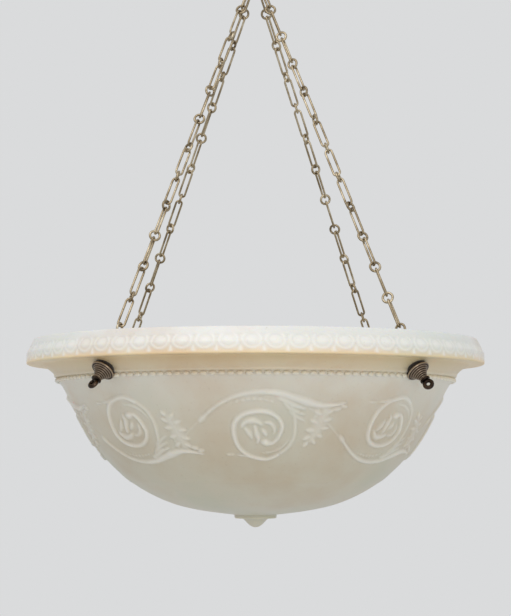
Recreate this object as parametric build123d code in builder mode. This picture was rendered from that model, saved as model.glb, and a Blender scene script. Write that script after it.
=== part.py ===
from build123d import *
from math import acos, asin, atan2, cos, degrees, radians, sin, sqrt, tan
import os

os.makedirs("parts", exist_ok=True)

# Pendant bowl light on four chains. Millimetres, +Z up, origin on the ceiling at the middle of
# the fixing bar. The bowl is a body of revolution about Z; its studs stand at 45 degrees to X.

# Glass bowl, outside
rim_radius = 228.6
rim_height = 24.5
land_fall = 0.5
ovolo_inset = 0.3
ovolo_height = 13.4
lip_inset = 7.1
cove_radius = 42.0
cove_steps = 2
stud_inset = 26.1
stud_drop = 32.8
stud_angle = 47.0
body_slope = 62.0
frieze_length = 48.0
flank_steps = 3
crown_inset = 127.5
crown_drop = 164.5
foot_radius = 21.0
foot_drop = 173.6
foot_height = 3.4
knob_radius = 12.0
knob_height = 9.0
knob_tip_radius = 3.5

# Glass bowl, inside
glass_wall = 7.0
rim_wall = 15.0
floor_wall = 8.0
glass_hole_radius = 3.6

# Studs: eye bolt, boss, washers and hook nut on one axis
stud_count = 4
first_stud = 45.0
bolt_radius = 2.5
bolt_sides = 8
bolt_clearance = 0.3
thread_gap = 0.05
seat_gap = 0.15
felt_radius = 10.5
felt_thickness = 1.8
washer_sides = 12
boss_radius = 11.6
boss_edge = 1.4
boss_length = 11.6
boss_neck_radius = 3.6
boss_sides = 12
trumpet_steps = ((0.45, 0.2), (0.35, 0.3), (0.2, 0.5))
collar_radius = 4.9
collar_thickness = 1.6
eye_inside = 3.2
eye_wire = 3.8
eye_sides = 8
eye_wire_sides = 6
eye_sink = 0.8
eye_turns = (20, 70, 90, -36)
inner_felt_radius = 8.5
inner_felt_thickness = 1.5
nut_across_flats = 10.0
nut_height = 4.7
nut_cap = 1.3
hook_wire_radius = 1.5
hook_sink = 0.6
hook_bend_radius = 4.0
hook_arch_radius = 5.5
hook_arch_angle = 186.0

# Chains: long links alternate with round rings; a short end link takes each chain to its hook nut
long_links = 12
link_inside = 27.2
end_link_inside = 17.8
link_width = 8.7
link_wire = 2.2
ring_inside = 7.1
ring_wire = 2.4
wire_sides = 4
link_rise = 0.5
chain_play = 0.1

# Gathering ring and ceiling hook
gather_radius = 11.0
gather_wire = 4.0
gather_wire_sides = 8
gather_bar_half = 9.0
gather_bar_drop = 11.0
gather_steps = 9
gather_inner = 2.5
gather_outer = 6.2
rod_radius = 4.0
rod_top = 1.5
rod_sides = 12
hook_radius = 11.0
hook_neck_radius = 6.0
hook_play = 0.2
hook_sweep = 250.3
hook_steps = 11

# Ceiling bar, nuts, rose, collar and screw
bar_length = 96.0
bar_width = 20.0
bar_thickness = 2.5
bar_drop = 9.0
bar_foot = 22.0
bar_slope_run = 9.0
bar_corner = 3.0
bar_hole_spacing = 76.0
bar_hole_radius = 2.6
rod_nut_height = 6.0
rod_nut_flats = 13.0
ceiling_gap = 0.5
rose_radius = 58.0
rose_edge = 5.0
rose_sides = 16
rose_neck_radius = 11.0
rose_depth = 40.0
rose_wall = 1.4
rose_travel = 20.0
slide_gap = 0.3
travel_spare = 1.5
collar_flats = 22.0
collar_height = 10.0
screw_radius = 2.0
screw_gap = 0.06
screw_head_radius = 5.0
screw_head_length = 6.0
bush_place = 21.0
bush_sides = 12
bush_flange_radius = 6.0
bush_neck_radius = 4.4
bush_bore = 3.2
bush_flange = 1.4
bush_length = 5.0

# Lamp carrier inside the bowl
arm_width = 12.0
arm_thickness = 1.5
arm_tab = 7.0
arm_leg = 15.0
arm_drop = 56.0
arm_knee_inset = 52.5
arm_overlap = 14.0
arm_screw_place = 24.0
hub_sides = 8
hub_radius = 31.0
hub_height = 26.0
hub_wall = 1.5
cover_thickness = 1.5
pillar_radius = 3.0
pillar_place = 18.0
cover_screw_radius = 1.6
cover_screw_head = 3.0
cover_screw_head_height = 2.0
screw_reach = 8.0
arm_screw_radius = 1.6
arm_screw_head = 3.0
arm_screw_head_height = 2.0
lamp_count = 2
holder_sides = 12
holder_radius = 13.0
holder_length = 34.0
holder_bore = 7.4
holder_bore_depth = 18.0
nipple_radius = 4.5
nipple_length = 8.0
lamp_radius = 14.0
lamp_length = 52.0
lamp_shoulder = 6.0
lamp_cap_radius = 6.9
lamp_cap_length = 16.0

stud_radius = rim_radius - stud_inset
crown_radius = stud_radius - crown_inset
arm_knee_radius = stud_radius - arm_knee_inset
stud_azimuths = [first_stud + 360 / stud_count * n for n in range(stud_count)]
stud_c = cos(radians(stud_angle))
stud_s = sin(radians(stud_angle))
slope_c = cos(radians(body_slope))
slope_s = sin(radians(body_slope))


def save(builder, label):
    builder.part.label = label
    export_step(builder.part, f"parts/{label}.step")


def slope_arc(centre, radius, first, last, count):
    """Points on an arc, told by the slope there; a negative radius makes the arc hollow."""
    slopes = [radians(first + (last - first) * n / count) for n in range(count + 1)]
    return [(centre[0] + radius * sin(s), centre[1] - radius * cos(s)) for s in slopes]


def turned_arc(centre, radius, first, last, count):
    """Points on an arc, told by the angle from the centre."""
    angles = [radians(first + (last - first) * n / count) for n in range(count + 1)]
    return [(centre[0] + radius * cos(a), centre[1] + radius * sin(a)) for a in angles]


# The cove turns from the land under the rim to the slope of the frieze
cove_centre = (stud_radius + cove_radius * stud_c, -stud_drop - cove_radius * stud_s)
land_slope = degrees(acos((-rim_height - land_fall - cove_centre[1]) / cove_radius))
cove_turn = body_slope - land_slope


def wire_loop(points, wire, sides):
    """Closed loop of wire on a polygon in the XY plane, begun half way along a side."""
    start = (Vector(*points[-1]) + Vector(*points[0])) * 0.5
    path = Polyline(start, *points, close=True)
    along = path % 0
    section = Plane(origin=start, x_dir=along.cross(Vector(0, 0, 1)), z_dir=along)
    wire_face = section * RegularPolygon(wire / 2, sides)
    return sweep(wire_face, path=path, transition=Transition.RIGHT).clean()


def long_loop(half_width, inside, rise, wire):
    """Corners of an upright loop with roofed ends, anticlockwise from the right side's top."""
    half_height = inside / 2 + wire / 2 * sqrt(half_width**2 + rise**2) / half_width
    return [
        (half_width, half_height - rise),
        (0, half_height),
        (-half_width, half_height - rise),
        (-half_width, rise - half_height),
        (0, -half_height),
        (half_width, rise - half_height),
    ]


# Stack on a stud's axis, counted outwards from the glass
glass_sag = cove_radius - sqrt(cove_radius**2 - felt_radius**2)
chord_sag = cove_radius * (1 - cos(radians(cove_turn / cove_steps / 2)))
felt_start = glass_sag + chord_sag + seat_gap
boss_start = felt_start + felt_thickness + seat_gap
collar_start = boss_start + boss_length + seat_gap
eye_half = eye_inside / 2 + eye_wire
eye_centre = collar_start + collar_thickness + eye_half - eye_sink
inner_sag = stud_radius - sqrt(stud_radius**2 - inner_felt_radius**2)
inner_felt_end = -glass_wall - seat_gap - inner_sag
arm_face = inner_felt_end - inner_felt_thickness - seat_gap
nut_face = arm_face - arm_thickness - seat_gap
nut_end = nut_face - nut_height
bolt_end = nut_end + nut_cap + seat_gap


def on_stud_axis(distance, side=0.0):
    """Radius and height over the lip of a place in a stud's upright plane."""
    return (
        stud_radius + distance * stud_c + side * stud_s,
        -stud_drop - distance * stud_s + side * stud_c,
    )


bend_centre = on_stud_axis(nut_end, hook_bend_radius)
arch_centre = (bend_centre[0] - hook_bend_radius + hook_arch_radius, bend_centre[1])
arch_inside = hook_arch_radius - hook_wire_radius

# Heights under the ceiling, down to the bar of the gathering ring
rose_bottom = -ceiling_gap - rose_depth
collar_top = rose_bottom - slide_gap
collar_bottom = collar_top - collar_height
rod_straight_end = collar_bottom - rose_travel - travel_spare
neck_rise = sqrt((hook_radius + hook_neck_radius) ** 2 - hook_neck_radius**2)
hook_centre = rod_straight_end - neck_rise
gather_centre = hook_centre - hook_radius + rod_radius + hook_play - gather_radius + gather_wire / 2
gather_bar = gather_centre - gather_bar_drop


def hook_seat(azimuth, lean, lip):
    """Inner face of a hook nut's arch where a chain with this lean pulls on it."""
    r = arch_centre[0] - arch_inside * sin(lean)
    z = lip + arch_centre[1] + arch_inside * cos(lean)
    return Vector(r * cos(radians(azimuth)), r * sin(radians(azimuth)), z)


# The back chains, drawn straight from the bar's axis, set the height of the lip
chain_length = long_links * (link_inside + ring_inside) + end_link_inside
joint_count = 2 * long_links + 2
link_side = (link_width - link_wire) / 2
bar_spread = gather_wire / 2 * sqrt(1 + link_rise**2)
lean = radians(27.0)
for settle in range(6):
    run = hook_seat(first_stud, lean, 0) - Vector(gather_inner, 0, 0)
    across = sqrt(run.X**2 + run.Y**2)
    bar_reach = bar_spread / sqrt(1 - (run.X / across * sin(lean)) ** 2)
    hung_length = chain_length - joint_count * chain_play - bar_reach
    lean = asin(across / hung_length)
lip_height = gather_bar - hung_length * cos(lean) - hook_seat(first_stud, lean, 0).Z

# Chains from the gathering ring: azimuth, place on the ring's bar, twist at the top, half turns
chains = {
    "back_right": (first_stud, gather_inner, 0, 2),
    "back_left": (first_stud + 90, -gather_inner, 0, -2),
    "front_left": (first_stud + 180, -gather_outer, 0, 2),
    "front_right": (first_stud + 270, gather_outer, -12, 1),
}


def stud_plane(azimuth, distance):
    """Plane square to a stud's axis, facing out of the glass."""
    r, z = on_stud_axis(distance)
    out = Vector(cos(radians(azimuth)), sin(radians(azimuth)), 0)
    return Plane(
        origin=(out.X * r, out.Y * r, lip_height + z),
        x_dir=(-out.Y, out.X, 0),
        z_dir=(out.X * stud_c, out.Y * stud_c, -stud_s),
    )


lip_plane = Plane(origin=(0, 0, lip_height), x_dir=(1, 0, 0), z_dir=(0, -1, 0))
around_studs = PolarLocations(0, stud_count, first_stud)

# Outline of the bowl: hollow cove, straight frieze, rounded flank; inside, a flat behind the studs
cove = slope_arc(cove_centre, -cove_radius, land_slope, body_slope, cove_steps)
haunch = (cove[-1][0] - frieze_length * slope_c, cove[-1][1] - frieze_length * slope_s)
crown_in = (crown_radius - haunch[0], -crown_drop - haunch[1])
crown_reach = crown_in[0] ** 2 + crown_in[1] ** 2
flank_radius = crown_reach / 2 / (crown_in[1] * slope_c - crown_in[0] * slope_s)
flank_centre = (haunch[0] - flank_radius * slope_s, haunch[1] + flank_radius * slope_c)
crown_slope = degrees(atan2(crown_radius - flank_centre[0], flank_centre[1] + crown_drop))
flank = slope_arc(flank_centre, flank_radius, body_slope, crown_slope, flank_steps)
inner_flank = slope_arc(
    flank_centre, flank_radius - glass_wall, body_slope, crown_slope, flank_steps - 1
)
flat_top = rim_radius - rim_wall
flat_side = (flat_top - on_stud_axis(-glass_wall)[0]) / stud_s
flat_rise = on_stud_axis(-glass_wall, flat_side)[1]
frieze_side = (inner_flank[0][0] - on_stud_axis(-glass_wall)[0]) / stud_s
frieze_over = on_stud_axis(-glass_wall, frieze_side)[1] - inner_flank[0][1]
flat_end = frieze_over / (slope_s / slope_c - stud_c / stud_s)
flat_foot = on_stud_axis(-glass_wall, frieze_side + flat_end / stud_s)
floor_radius = inner_flank[-1][0] - (floor_wall - foot_drop - inner_flank[-1][1]) / -tan(
    radians(crown_slope)
)

# Glass bowl: rim, cove, conical frieze, rounded flank, crown, foot and knob in one pressing
with BuildPart() as glass_bowl:
    with BuildSketch(lip_plane) as bowl_section:
        with BuildLine() as bowl_outline:
            foot_under = -foot_drop - foot_height
            rim = Polyline(
                (rim_radius - rim_wall, 0),
                (rim_radius - lip_inset, 0),
                (rim_radius - ovolo_inset, -ovolo_height),
                (rim_radius, -rim_height),
                *cove,
                *flank,
                (foot_radius, -foot_drop),
                (foot_radius, foot_under),
                (knob_radius, foot_under),
                (knob_tip_radius, foot_under - 0.8 * knob_height),
                (0, foot_under - knob_height),
                (0, floor_wall - foot_drop),
            )
            Polyline(
                rim @ 1,
                (floor_radius, floor_wall - foot_drop),
                *reversed(inner_flank),
                flat_foot,
                (flat_top, flat_rise),
                rim @ 0,
            )
        make_face()
    revolve(axis=Axis.Z)
    with BuildSketch(*[stud_plane(azimuth, felt_start) for azimuth in stud_azimuths]):
        RegularPolygon(glass_hole_radius, bolt_sides)
    extrude(amount=-3 * glass_wall, mode=Mode.SUBTRACT)
save(glass_bowl, "glass_bowl")

# Felt washer under each boss
with BuildPart() as outer_felt_form:
    with BuildSketch(stud_plane(0, felt_start)):
        RegularPolygon(felt_radius, washer_sides)
        RegularPolygon(bolt_radius + bolt_clearance, bolt_sides, mode=Mode.SUBTRACT)
    extrude(amount=felt_thickness)
with BuildPart() as outer_felts:
    with around_studs:
        add(outer_felt_form.part)
save(outer_felts, "outer_felts")

# Beehive bosses: flat flange and a hollow trumpet of bevelled stages narrowing to the eye
stage_radius = boss_radius
stage_end = boss_edge
boss_stages = []
for share_in, share_out in trumpet_steps:
    stage_in = share_in * (boss_radius - boss_neck_radius)
    stage_length = share_out * (boss_length - boss_edge)
    stage_end += stage_length
    with BuildPart() as boss_stage:
        with BuildSketch(Plane.XY):
            RegularPolygon(stage_radius, boss_sides, major_radius=False)
        extrude(amount=stage_end)
        stage_top = boss_stage.faces().sort_by(Axis.Z)[-1]
        chamfer(stage_top.edges(), length=stage_in, length2=stage_length, reference=stage_top)
    boss_stages.append(boss_stage.part)
    stage_radius -= stage_in
with BuildPart() as boss_form:
    with Locations(stud_plane(0, boss_start)):
        add(boss_stages)
    with BuildSketch(stud_plane(0, boss_start)):
        RegularPolygon(bolt_radius + bolt_clearance, bolt_sides)
    extrude(amount=boss_length, mode=Mode.SUBTRACT)
with BuildPart() as stud_bosses:
    with around_studs:
        add(boss_form.part)
save(stud_bosses, "stud_bosses")

# Eye bolts: shank, collar and a forged eye turned as each one stands
with BuildPart() as shank_form:
    with BuildSketch(stud_plane(0, bolt_end)):
        RegularPolygon(bolt_radius, bolt_sides)
    extrude(amount=collar_start + collar_thickness - bolt_end)
    with BuildSketch(stud_plane(0, collar_start)):
        RegularPolygon(collar_radius, washer_sides)
    extrude(amount=collar_thickness)
eye_reach = (eye_inside + eye_wire) / 2 / cos(radians(180 / eye_sides))
eye_corners = turned_arc((0, 0), eye_reach, 180 / eye_sides, 360 + 180 / eye_sides, eye_sides)
eye_form = wire_loop(eye_corners[:-1], eye_wire, eye_wire_sides)
eye_bolts = []
for azimuth, turn in zip(stud_azimuths, eye_turns):
    eye_place = stud_plane(0, eye_centre).rotated((90, 0, turn + 90))
    eye_bolts.append(Rot(0, 0, azimuth) * (shank_form.part + eye_place * eye_form))
with BuildPart() as stud_eye_bolts:
    add(eye_bolts)
save(stud_eye_bolts, "stud_eye_bolts")

# Felt washers inside the glass
with BuildPart() as inner_felt_form:
    with BuildSketch(stud_plane(0, inner_felt_end)):
        RegularPolygon(inner_felt_radius, washer_sides)
        RegularPolygon(bolt_radius + bolt_clearance, bolt_sides, mode=Mode.SUBTRACT)
    extrude(amount=-inner_felt_thickness)
with BuildPart() as inner_felts:
    with around_studs:
        add(inner_felt_form.part)
save(inner_felts, "inner_felts")

# Hook nuts: a blind hexagon nut with a wire arch that takes the chain's end link
with BuildPart() as hook_nut_form:
    with BuildSketch(stud_plane(0, nut_face)):
        RegularPolygon(nut_across_flats / 2, 6, major_radius=False)
    extrude(amount=-nut_height)
    with BuildSketch(stud_plane(0, nut_face)):
        RegularPolygon(bolt_radius + thread_gap, bolt_sides)
    extrude(amount=-nut_height + nut_cap, mode=Mode.SUBTRACT)
    with BuildLine(lip_plane) as hook_path:
        Polyline(
            on_stud_axis(nut_end + hook_sink),
            *turned_arc(bend_centre, hook_bend_radius, 270 - stud_angle, 180, 2),
            *turned_arc(arch_centre, hook_arch_radius, 180, 180 - hook_arch_angle, 6)[1:],
        )
    with BuildSketch(Plane(origin=hook_path.wires()[0] @ 0, z_dir=hook_path.wires()[0] % 0)):
        RegularPolygon(hook_wire_radius, 4)
    sweep(transition=Transition.RIGHT)
with BuildPart() as hook_nuts:
    with around_studs:
        add(hook_nut_form.part)
save(hook_nuts, "hook_nuts")


# Chain pieces: long link, short end link and ring
end_rise = link_rise * link_side
link_corners = long_loop(link_side, link_inside, end_rise, link_wire)
end_link_corners = long_loop(link_side, end_link_inside, end_rise, link_wire)
ring_side = (ring_inside * cos(radians(30)) + ring_wire) / 2
ring_corners = long_loop(ring_side, ring_inside, ring_side * tan(radians(30)), ring_wire)
link_form = wire_loop(link_corners, link_wire, wire_sides)
end_link_form = wire_loop(end_link_corners, link_wire, wire_sides)
ring_form = wire_loop(ring_corners, ring_wire, wire_sides)

# Chains: links and rings walk down the straight line from ring bar to hook nut
for side, (azimuth, place, first_twist, half_turns) in chains.items():
    start = Vector(place, 0, gather_bar)
    seat = hook_seat(azimuth, lean, lip_height)
    pull = (seat - start).normalized()
    bar_reach = bar_spread / sqrt(1 - pull.X**2)
    play = (chain_length - bar_reach - (seat - start).length) / joint_count
    edge_on = Vector(1, 0, 0).cross(pull).normalized()
    tangent = Vector(-sin(radians(azimuth)), cos(radians(azimuth)), 0)
    end_twist = degrees(atan2(edge_on.cross(tangent).dot(pull), edge_on.dot(tangent)))
    twist_step = (end_twist + 180 * half_turns - first_twist) / long_links
    link_places = []
    ring_places = []
    walk = -bar_reach - play
    for piece in range(2 * long_links + 1):
        is_ring = piece % 2 == 1
        inside = ring_inside if is_ring else link_inside
        inside = end_link_inside if piece == 2 * long_links else inside
        twist = radians(first_twist + twist_step * piece / 2 + 90 * (piece % 2))
        width = edge_on * cos(twist) + pull.cross(edge_on) * sin(twist)
        centre = start + pull * (walk + inside / 2)
        spot = Plane(origin=centre, x_dir=width, z_dir=width.cross(pull * -1))
        (ring_places if is_ring else link_places).append(spot)
        walk += inside - play
    with BuildPart() as chain_links:
        with Locations(*link_places[:-1]):
            add(link_form)
        with Locations(link_places[-1]):
            add(end_link_form)
    save(chain_links, f"chain_{side}_links")
    with BuildPart() as chain_rings:
        with Locations(*ring_places):
            add(ring_form)
    save(chain_rings, f"chain_{side}_rings")

# Gathering ring: half round on the ceiling hook, with a straight bar under the chains
half_step = 90 / (gather_steps - 1)
gather_reach = gather_radius / cos(radians(half_step))
gather_corners = [
    (gather_bar_half, -gather_bar_drop),
    *turned_arc((0, 0), gather_reach, -half_step, 180 + half_step, gather_steps),
    (-gather_bar_half, -gather_bar_drop),
]
gather_form = wire_loop(gather_corners, gather_wire, gather_wire_sides)
with BuildPart() as gathering_ring:
    with Locations(Plane(origin=(0, 0, gather_centre), x_dir=(1, 0, 0), z_dir=(0, -1, 0))):
        add(gather_form)
save(gathering_ring, "gathering_ring")

# Ceiling hook: threaded rod, offset neck and round hook
neck_angle = degrees(atan2(neck_rise, hook_neck_radius))
with BuildPart() as ceiling_hook:
    with BuildLine(Plane.YZ) as rod_path:
        Polyline(
            (0, -rod_top),
            *turned_arc(
                (hook_neck_radius, rod_straight_end), hook_neck_radius, 180, 180 + neck_angle, 3
            ),
            *turned_arc(
                (0, hook_centre), hook_radius, neck_angle, neck_angle - hook_sweep, hook_steps
            )[1:],
        )
    with BuildSketch(Plane(origin=(0, 0, -rod_top), x_dir=(1, 0, 0), z_dir=(0, 0, -1))):
        RegularPolygon(rod_radius, rod_sides)
    sweep(transition=Transition.RIGHT)
save(ceiling_hook, "ceiling_hook")

# Ceiling bar: pressed strap with two screw holes and a dropped middle for the hook's rod
with BuildPart() as ceiling_bar:
    with BuildSketch(Plane.XZ.offset(-bar_width / 2)):
        with BuildLine():
            bar_middle = bar_length / 2 - bar_foot - bar_slope_run
            strap = Polyline(
                (-bar_length / 2, 0),
                (-bar_length / 2 + bar_foot, 0),
                (-bar_middle, -bar_drop),
                (bar_middle, -bar_drop),
                (bar_length / 2 - bar_foot, 0),
                (bar_length / 2, 0),
            )
            offset(strap, bar_thickness, side=Side.RIGHT, closed=True)
        make_face()
    extrude(amount=bar_width)
    chamfer(ceiling_bar.edges().filter_by(Axis.Z), bar_corner)
    with Locations((-bar_hole_spacing / 2, 0, 0), (bar_hole_spacing / 2, 0, 0)):
        Hole(bar_hole_radius)
    with BuildSketch(Plane.XY):
        RegularPolygon(rod_radius + thread_gap, rod_sides)
    extrude(amount=-2 * bar_drop, mode=Mode.SUBTRACT)
save(ceiling_bar, "ceiling_bar")

# Nuts that clamp the rod to the bar, one above and one below
for label, height in (
    ("stem_top_nut", -bar_drop + seat_gap),
    ("stem_lock_nut", -bar_drop - bar_thickness - seat_gap - rod_nut_height),
):
    with BuildPart() as rod_nut:
        with BuildSketch(Plane.XY.offset(height)):
            RegularPolygon(rod_nut_flats / 2, 6, major_radius=False)
            RegularPolygon(rod_radius + thread_gap, rod_sides, mode=Mode.SUBTRACT)
        extrude(amount=rod_nut_height)
    save(rod_nut, label)

# Ceiling rose: panelled shell with an upright edge and a tapering body
flat_share = cos(radians(180 / rose_sides))
bush_slope = atan2(rose_depth - rose_edge, (rose_radius - rose_neck_radius) * flat_share)
bush_face = Plane(
    origin=(
        -bush_place,
        0,
        rose_bottom + (bush_place - rose_neck_radius * flat_share) * tan(bush_slope),
    ),
    x_dir=(0, 1, 0),
    z_dir=(-sin(bush_slope), 0, -cos(bush_slope)),
)
with BuildPart() as ceiling_rose:
    with BuildSketch(Plane.XY.offset(-ceiling_gap)):
        RegularPolygon(rose_radius, rose_sides, rotation=180 / rose_sides)
    extrude(amount=-rose_depth)
    chamfer(
        ceiling_rose.edges().group_by(Axis.Z)[0],
        length=(rose_radius - rose_neck_radius) * flat_share,
        length2=rose_depth - rose_edge,
        reference=ceiling_rose.faces().sort_by(Axis.Z)[0],
    )
    offset(amount=-rose_wall, openings=ceiling_rose.faces().sort_by(Axis.Z)[-1])
    with BuildSketch(Plane.XY.offset(rose_bottom)):
        RegularPolygon(rod_radius + slide_gap, rod_sides)
    extrude(amount=2 * rose_wall, mode=Mode.SUBTRACT)
    with BuildSketch(bush_face):
        RegularPolygon(bush_neck_radius + seat_gap, bush_sides)
    extrude(amount=-3 * rose_wall, mode=Mode.SUBTRACT)
save(ceiling_rose, "ceiling_rose")

# Cord inlet bush in the rose's side
with BuildPart() as rose_cord_bush:
    with BuildSketch(bush_face.offset(seat_gap)):
        RegularPolygon(bush_flange_radius, bush_sides)
    extrude(amount=bush_flange)
    with BuildSketch(bush_face.offset(seat_gap)):
        RegularPolygon(bush_neck_radius, bush_sides)
    extrude(amount=-bush_length + bush_flange)
    with BuildSketch(bush_face.offset(seat_gap + bush_flange)):
        RegularPolygon(bush_bore, bush_sides)
    extrude(amount=-bush_length, mode=Mode.SUBTRACT)
save(rose_cord_bush, "rose_cord_bush")

# Collar under the rose, with a cross hole for its thumb screw
collar_middle = (collar_top + collar_bottom) / 2
screw_plane = Plane(origin=(0, 0, collar_middle), x_dir=(1, 0, 0), z_dir=(0, 1, 0))
with BuildPart() as rose_collar:
    with BuildSketch(Plane.XY.offset(collar_bottom)):
        RegularPolygon(collar_flats / 2, 6, major_radius=False)
        RegularPolygon(rod_radius + slide_gap, rod_sides, mode=Mode.SUBTRACT)
    extrude(amount=collar_height)
    with BuildSketch(screw_plane):
        Circle(screw_radius + screw_gap)
    extrude(amount=collar_flats, mode=Mode.SUBTRACT)
save(rose_collar, "rose_collar")

# Thumb screw
with BuildPart() as collar_screw:
    with BuildSketch(screw_plane.offset(rod_radius + seat_gap)):
        Circle(screw_radius)
    extrude(amount=collar_flats / 2 - rod_radius)
    with BuildSketch(screw_plane.offset(collar_flats / 2 + seat_gap)):
        RegularPolygon(screw_head_radius, bush_sides)
    extrude(amount=screw_head_length)
save(collar_screw, "collar_screw")

# Lamp arms: four straps from the studs to the housing in the middle
strap_middle = arm_face - arm_thickness / 2
with BuildPart() as arm_form:
    with BuildSketch(lip_plane.offset(-arm_width / 2)):
        with BuildLine() as arm_path:
            Polyline(
                on_stud_axis(strap_middle, arm_tab),
                on_stud_axis(strap_middle, -arm_leg),
                (arm_knee_radius, -arm_drop),
                (hub_radius - arm_overlap, -arm_drop),
            )
        trace(line_width=arm_thickness)
    extrude(amount=arm_width)
    with BuildSketch(stud_plane(0, arm_face)):
        RegularPolygon(bolt_radius + bolt_clearance, bolt_sides)
    extrude(amount=-2 * arm_thickness, mode=Mode.SUBTRACT)
    with BuildSketch(Plane.XY.offset(lip_height - arm_drop + arm_thickness)):
        with Locations((arm_screw_place, 0)):
            RegularPolygon(arm_screw_radius + seat_gap, bolt_sides)
    extrude(amount=-2 * arm_thickness, mode=Mode.SUBTRACT)
with BuildPart() as lamp_arms:
    with around_studs:
        add(arm_form.part)
save(lamp_arms, "lamp_arms")

# Housing: eight-sided cup that hangs under the arms, open below
hub_top = lip_height - arm_drop - arm_thickness / 2 - seat_gap
hub_bottom = hub_top - hub_height
holder_height = hub_top - hub_height / 2
around_hub = PolarLocations(arm_screw_place, stud_count, first_stud)
around_cover = PolarLocations(pillar_place, 2, 90)
around_lamps = PolarLocations(0, lamp_count, 0)
with BuildPart() as lamp_hub:
    with BuildSketch(Plane.XY.offset(hub_bottom)):
        RegularPolygon(hub_radius, hub_sides, major_radius=False, rotation=180 / hub_sides)
    extrude(amount=hub_height)
    offset(amount=-hub_wall, openings=lamp_hub.faces().sort_by(Axis.Z)[0])
    with BuildSketch(Plane.XY.offset(hub_top)):
        with around_hub:
            RegularPolygon(arm_screw_radius + thread_gap, bolt_sides)
        RegularPolygon(bush_neck_radius + seat_gap, bush_sides)
    extrude(amount=-2 * hub_wall, mode=Mode.SUBTRACT)
    with BuildSketch(Plane.XY.offset(hub_bottom)):
        with around_cover:
            RegularPolygon(pillar_radius, bolt_sides)
            RegularPolygon(cover_screw_radius + thread_gap, bolt_sides, mode=Mode.SUBTRACT)
    extrude(amount=hub_height - hub_wall)
    with BuildSketch(Plane(origin=(0, 0, holder_height), x_dir=(0, 1, 0), z_dir=(1, 0, 0))):
        RegularPolygon(nipple_radius + seat_gap, bush_sides)
    extrude(amount=2 * hub_radius, both=True, mode=Mode.SUBTRACT)
save(lamp_hub, "lamp_hub")

# Cover under the housing and the two screws that hold it to the pillars
with BuildPart() as hub_cover:
    with BuildSketch(Plane.XY.offset(hub_bottom - seat_gap)):
        RegularPolygon(hub_radius, hub_sides, major_radius=False, rotation=180 / hub_sides)
        with around_cover:
            RegularPolygon(cover_screw_radius + seat_gap, bolt_sides, mode=Mode.SUBTRACT)
    extrude(amount=-cover_thickness)
save(hub_cover, "hub_cover")
with BuildPart() as hub_cover_screws:
    with BuildSketch(Plane.XY.offset(hub_bottom - cover_thickness - 2 * seat_gap)):
        with around_cover:
            RegularPolygon(cover_screw_head, bush_sides)
    extrude(amount=-cover_screw_head_height)
    with BuildSketch(Plane.XY.offset(hub_bottom - cover_thickness - 2 * seat_gap)):
        with around_cover:
            RegularPolygon(cover_screw_radius, bolt_sides)
    extrude(amount=cover_thickness + screw_reach)
save(hub_cover_screws, "hub_cover_screws")

# Screws that hold the housing up to the arms
with BuildPart() as arm_screws:
    arm_top = lip_height - arm_drop + arm_thickness / 2
    with BuildSketch(Plane.XY.offset(arm_top + seat_gap)):
        with around_hub:
            RegularPolygon(arm_screw_head, bush_sides)
    extrude(amount=arm_screw_head_height)
    with BuildSketch(Plane.XY.offset(arm_top + seat_gap)):
        with around_hub:
            RegularPolygon(arm_screw_radius, bolt_sides)
    extrude(amount=-arm_thickness - hub_wall - 3 * seat_gap)
save(arm_screws, "arm_screws")

# Cord inlet bush on top of the housing
with BuildPart() as hub_cord_bush:
    with BuildSketch(Plane.XY.offset(hub_top + seat_gap)):
        RegularPolygon(bush_flange_radius, bush_sides)
    extrude(amount=bush_flange)
    with BuildSketch(Plane.XY.offset(hub_top + seat_gap)):
        RegularPolygon(bush_neck_radius, bush_sides)
    extrude(amount=-bush_length + bush_flange)
    with BuildSketch(Plane.XY.offset(hub_top + seat_gap + bush_flange)):
        RegularPolygon(bush_bore, bush_sides)
    extrude(amount=-bush_length, mode=Mode.SUBTRACT)
save(hub_cord_bush, "hub_cord_bush")


def holder_plane(distance):
    """Plane square to the first lamp's axis, facing out of the housing."""
    return Plane(origin=(distance, 0, holder_height), x_dir=(0, 1, 0), z_dir=(1, 0, 0))


# Lampholders: a nipple through the housing's wall and a cup for the lamp's cap
holder_mouth = hub_radius + seat_gap + holder_length
with BuildPart() as holder_form:
    with BuildSketch(holder_plane(hub_radius - nipple_length)):
        RegularPolygon(nipple_radius, bush_sides)
    extrude(amount=nipple_length + seat_gap)
    with BuildSketch(holder_plane(hub_radius + seat_gap)):
        RegularPolygon(holder_radius, holder_sides)
    extrude(amount=holder_length)
    with BuildSketch(holder_plane(holder_mouth)):
        RegularPolygon(holder_bore, holder_sides)
    extrude(amount=-holder_bore_depth, mode=Mode.SUBTRACT)
with BuildPart() as lampholders:
    with around_lamps:
        add(holder_form.part)
save(lampholders, "lampholders")

# Lamps: metal cap in the holder, glass envelope beyond it
with BuildPart() as cap_form:
    with BuildSketch(holder_plane(holder_mouth)):
        RegularPolygon(lamp_cap_radius, holder_sides)
    extrude(amount=-lamp_cap_length)
with BuildPart() as lamp_caps:
    with around_lamps:
        add(cap_form.part)
save(lamp_caps, "lamp_caps")
with BuildPart() as bulb_form:
    with BuildSketch(holder_plane(holder_mouth + seat_gap)):
        RegularPolygon(lamp_radius, holder_sides)
    extrude(amount=lamp_length)
    chamfer(bulb_form.faces().filter_by(Axis.X).edges(), lamp_shoulder)
with BuildPart() as lamp_bulbs:
    with around_lamps:
        add(bulb_form.part)
save(lamp_bulbs, "lamp_bulbs")
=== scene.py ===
import math

import bmesh
import bpy
import numpy as np
from mathutils import Matrix, Vector


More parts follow.
